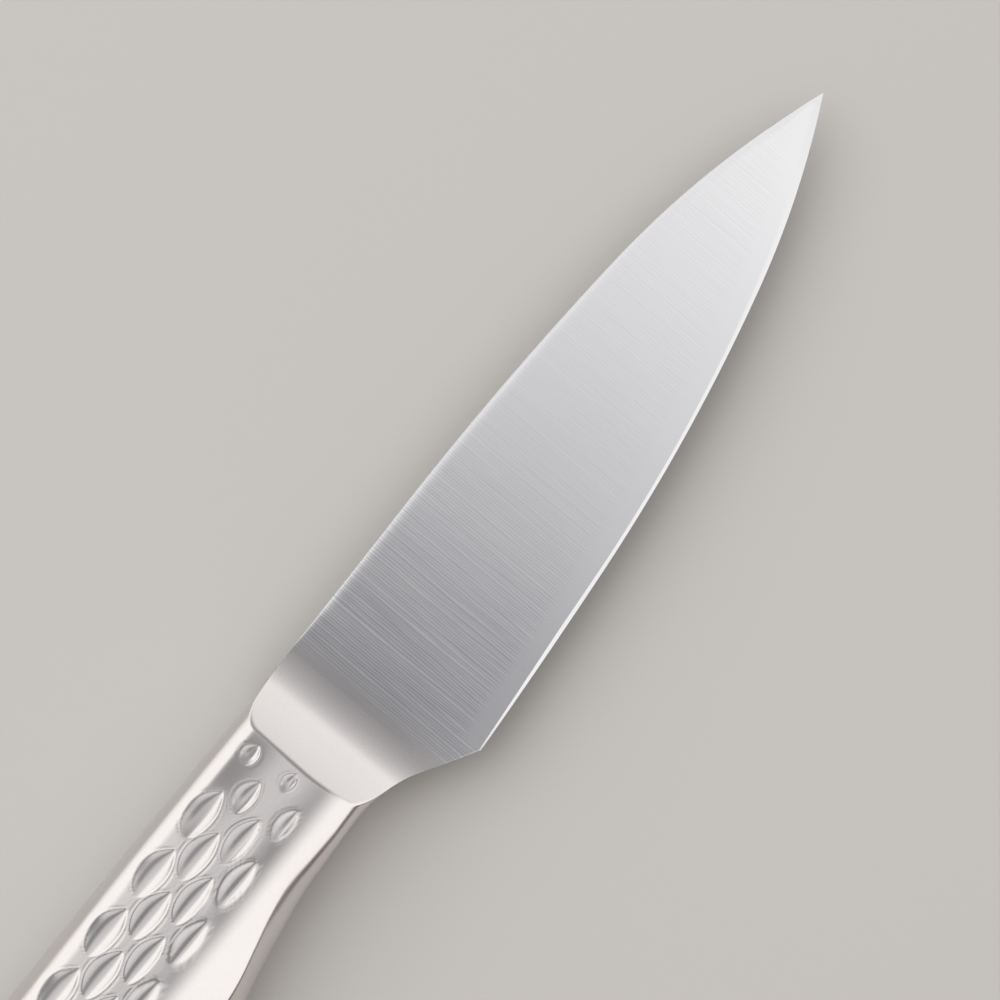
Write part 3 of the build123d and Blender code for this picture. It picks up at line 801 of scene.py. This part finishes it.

# %% [markdown]
# Dry sand lies loose in the handle to balance the knife: tan grains, quite without gloss, each
# painted darker towards its edges as shade where the grains meet. It never shows, but it is
# finished like the rest.

# %% Sand
def loose_sand():
    material, tree = new_material("loose_dry_sand")
    place = add_node(tree, "ShaderNodeTexCoord")
    grain_width, grain_height = 0.4 * MM, 0.15 * MM
    grains = add_node(tree, "ShaderNodeTexVoronoi", links={"Vector": place.outputs["Object"]},
                      Scale=1 / grain_width)
    # Painted shade: each grain is lighter in its middle and darker towards its edges, where the
    # grains meet
    colour = add_node(tree, "ShaderNodeMix", {"data_type": "RGBA"},
                      links={0: grains.outputs["Distance"]})
    colour.inputs[6].default_value = linear("#C9B189")
    colour.inputs[7].default_value = linear("#8A7350")
    bump = add_node(tree, "ShaderNodeBump", {"invert": True},
                    links={"Height": grains.outputs["Distance"]}, Distance=grain_height)
    shader = add_node(tree, "ShaderNodeBsdfPrincipled", Roughness=0.95, links={
        "Base Color": colour.outputs[2], "Normal": bump.outputs["Normal"]})
    finish_material(tree, shader)
    return material


finish_node("balance_sand", loose_sand())

# %% [markdown]
# ## Floor and light
#
# The floor is plain and pale. A large soft light stands over the back of the knife and throws
# the shadow towards the belly. Steel shows what is around it, so the surroundings are pale
# above and warmer and darker past the belly side.

# %% Floor
floor_mesh = bpy.data.meshes.new("floor")
floor_reach, floor_gap = 3.0, 0.02 * MM
floor_mesh.from_pydata([(-floor_reach, -floor_reach, 0), (floor_reach, -floor_reach, 0),
                        (floor_reach, floor_reach, 0), (-floor_reach, floor_reach, 0)],
                       [], [(0, 1, 2, 3)])
floor = bpy.data.objects.new("floor", floor_mesh)
bpy.context.scene.collection.objects.link(floor)
floor.location.z = -floor_gap
floor_material, floor_tree = new_material("pale_floor")
floor_shader = add_node(floor_tree, "ShaderNodeBsdfPrincipled", Base_Color=linear("#BFBDBA"),
                        Roughness=0.9, Specular_IOR_Level=0.2)
finish_material(floor_tree, floor_shader)
floor_mesh.materials.append(floor_material)


# %% Soft light
def soft_light(name, place, target, width, height, power, colour):
    """A rectangular light at place, facing target; lengths in metres."""
    lamp = bpy.data.lights.new(name, "AREA")
    lamp.shape, lamp.size, lamp.size_y = "RECTANGLE", width, height
    lamp.energy, lamp.color = power, linear(colour)[:3]
    holder = bpy.data.objects.new(name, lamp)
    bpy.context.scene.collection.objects.link(holder)
    holder.visible_glossy = False
    holder.location = place
    way = Vector(target) - Vector(place)
    holder.rotation_euler = way.to_track_quat("-Z", "Y").to_euler()
    return holder


middle = (0.04, 0.0, 0.0)
soft_light("window", (0.05, 0.55, 0.75), middle, 1.2, 0.9, 3.0, "#FFFDFB")

# %% Surroundings
world = bpy.data.worlds.new("studio")
bpy.context.scene.world = world
world.use_nodes = True
sky = world.node_tree
sky.nodes.clear()
way = add_node(sky, "ShaderNodeTexCoord")
towards = Vector((0.50, 0.46, 0.74)).normalized()
across = add_node(sky, "ShaderNodeVectorMath", {"operation": "DOT_PRODUCT"},
                  links={0: way.outputs["Generated"]})
across.inputs[1].default_value = towards
falloff = add_node(sky, "ShaderNodeMapRange", links={"Value": across.outputs["Value"]},
                   From_Min=-0.5, From_Max=1.0)
shades = add_node(sky, "ShaderNodeValToRGB", links={"Fac": falloff.outputs["Result"]})
stops = [(0.0, "#5F554F"), (0.25, "#7A6F69"), (0.45, "#A59D98"), (0.66, "#F2F0EF"),
         (1.0, "#FFFFFF")]
while len(shades.color_ramp.elements) < len(stops):
    shades.color_ramp.elements.new(0.5)
for element, (place, colour) in zip(shades.color_ramp.elements, stops):
    element.position, element.color = place, linear(colour)

glow = add_node(sky, "ShaderNodeBackground", links={"Color": shades.outputs["Color"]},
                Strength=1.2)
add_node(sky, "ShaderNodeOutputWorld", links={"Surface": glow.outputs["Background"]})

# %% [markdown]
# ## Cards over the knife
#
# A smooth steel face shows what hangs over it. Product photographers hold pale and grey cards
# close over the metal, so that the tone runs softly along it. The cards could be part of the far
# surroundings, but only near ones give the blade and the ramp, which face almost the same way,
# tones of their own. Each card fades out at its edges and shows in reflections only.

# %% One card with soft edges
# The darker a card is, the cooler its grey
GREEN_SHARE, BLUE_SHARE, BLUE_LOSS = 0.99, 1.04, 0.05


def soft_card(name, height, near_y, far_y, fade, tones):
    """A card at a height in mm from near_y to far_y, which fades over the width of its edges.

    Along x the tones give the place, the level and how much of what is behind is covered.
    """
    first_x, last_x = tones[0][0], tones[-1][0]
    half_x, half_y = (last_x - first_x) / 2 * MM, (far_y - near_y) / 2 * MM
    mesh = bpy.data.meshes.new(name)
    mesh.from_pydata([(-half_x, -half_y, 0), (half_x, -half_y, 0), (half_x, half_y, 0),
                      (-half_x, half_y, 0)], [], [(0, 1, 2, 3)])
    card = bpy.data.objects.new(name, mesh)
    bpy.context.scene.collection.objects.link(card)
    card.location = (Vector(((first_x + last_x) / 2, (near_y + far_y) / 2, height)) + SHIFT) * MM
    material, tree = new_material(name)
    spot = add_node(tree, "ShaderNodeTexCoord")
    along = add_node(tree, "ShaderNodeSeparateXYZ", links={"Vector": spot.outputs["Object"]})
    share = add_node(tree, "ShaderNodeMapRange", links={"Value": along.outputs["X"]},
                     From_Min=-half_x, From_Max=half_x)
    tone = add_node(tree, "ShaderNodeValToRGB", links={"Fac": share.outputs["Result"]})
    elements = tone.color_ramp.elements
    while len(elements) < len(tones):
        elements.new(0.5)
    for element, (place, level, cover) in zip(elements, tones):
        element.position = (place - first_x) / (last_x - first_x)
        blue = level * (BLUE_SHARE - BLUE_LOSS * level)
        element.color = (level, level * GREEN_SHARE, blue, cover)
    light = add_node(tree, "ShaderNodeEmission", links={"Color": tone.outputs["Color"]},
                     Strength=1.0)
    aside = add_node(tree, "ShaderNodeMath", {"operation": "ABSOLUTE"},
                     links={0: along.outputs["Y"]})
    edge = add_node(tree, "ShaderNodeMapRange", {"interpolation_type": "SMOOTHSTEP"},
                    links={"Value": aside.outputs["Value"]},
                    From_Min=half_y - fade * MM, From_Max=half_y, To_Min=1.0, To_Max=0.0)
    mask = add_node(tree, "ShaderNodeMath", {"operation": "MULTIPLY"},
                    links={0: edge.outputs["Result"], 1: tone.outputs["Alpha"]})
    clear = add_node(tree, "ShaderNodeBsdfTransparent")
    faded = add_node(tree, "ShaderNodeMixShader",
                     links={0: mask.outputs["Value"], 1: clear.outputs["BSDF"],
                            2: light.outputs["Emission"]})
    add_node(tree, "ShaderNodeOutputMaterial", links={"Surface": faded.outputs["Shader"]})
    mesh.materials.append(material)
    for kind in ("camera", "diffuse", "transmission", "volume_scatter", "shadow"):
        setattr(card, "visible_" + kind, False)
    print(name, "reaches from x", first_x, "to", last_x, "and from y", near_y, "to", far_y, "mm")


# %% The cards
soft_card("sweep_card", 60, -95, 30, 14, [
    (-130, 0.80, 0), (-100, 0.74, 1), (-37, 0.70, 1), (-15, 0.72, 1), (-4, 0.74, 1), (5, 0.60, 1),
    (18, 0.42, 1), (29, 0.46, 1), (40, 0.57, 1), (51, 0.69, 1), (62, 0.78, 1), (74, 0.89, 1),
    (96, 1.05, 1), (120, 1.24, 1), (150, 1.13, 1), (240, 1.03, 1), (270, 1.03, 0)])
soft_card("spine_card", 59, -13, 170, 32, [
    (-200, 1.24, 1), (6, 1.24, 1), (16, 1.0, 0.5), (70, 1.0, 0.5), (200, 1.25, 1)])
soft_card("grip_card", 58, -44, -17, 8, [(-130, 0.22, 1), (-12, 0.22, 1), (4, 0.22, 0)])
soft_card("low_card", 57, -130, -48, 14, [(-130, 0.85, 1), (-10, 0.85, 1), (10, 0.85, 0)])
soft_card("edge_card", 57, -260, -46, 6, [(8, 1.3, 0), (16, 1.3, 1), (175, 1.3, 1)])
soft_card("heel_card", 20, -40, 26, 22, [
    (1, 0.33, 0), (5, 0.32, 0.5), (9, 0.30, 1), (12, 0.30, 1), (16, 0.36, 0.75),
    (22, 0.42, 0.6), (32, 0.52, 0.45), (45, 0.66, 0.3), (60, 0.8, 0)])
soft_card("neck_card", 19, -9, 2, 4, [
    (-18, 0.24, 0), (-8, 0.24, 0.9), (-1, 0.24, 0.9), (5, 0.24, 0)])
soft_card("belly_card", 10, -34, -16, 4, [(-130, 1.22, 1), (4, 1.22, 1), (10, 1.22, 0)])

# %% [markdown]
# ## Close
#
# The picture is shown as it is lit, with the standard view.

# %% View transform
bpy.context.scene.view_settings.view_transform = "Standard"
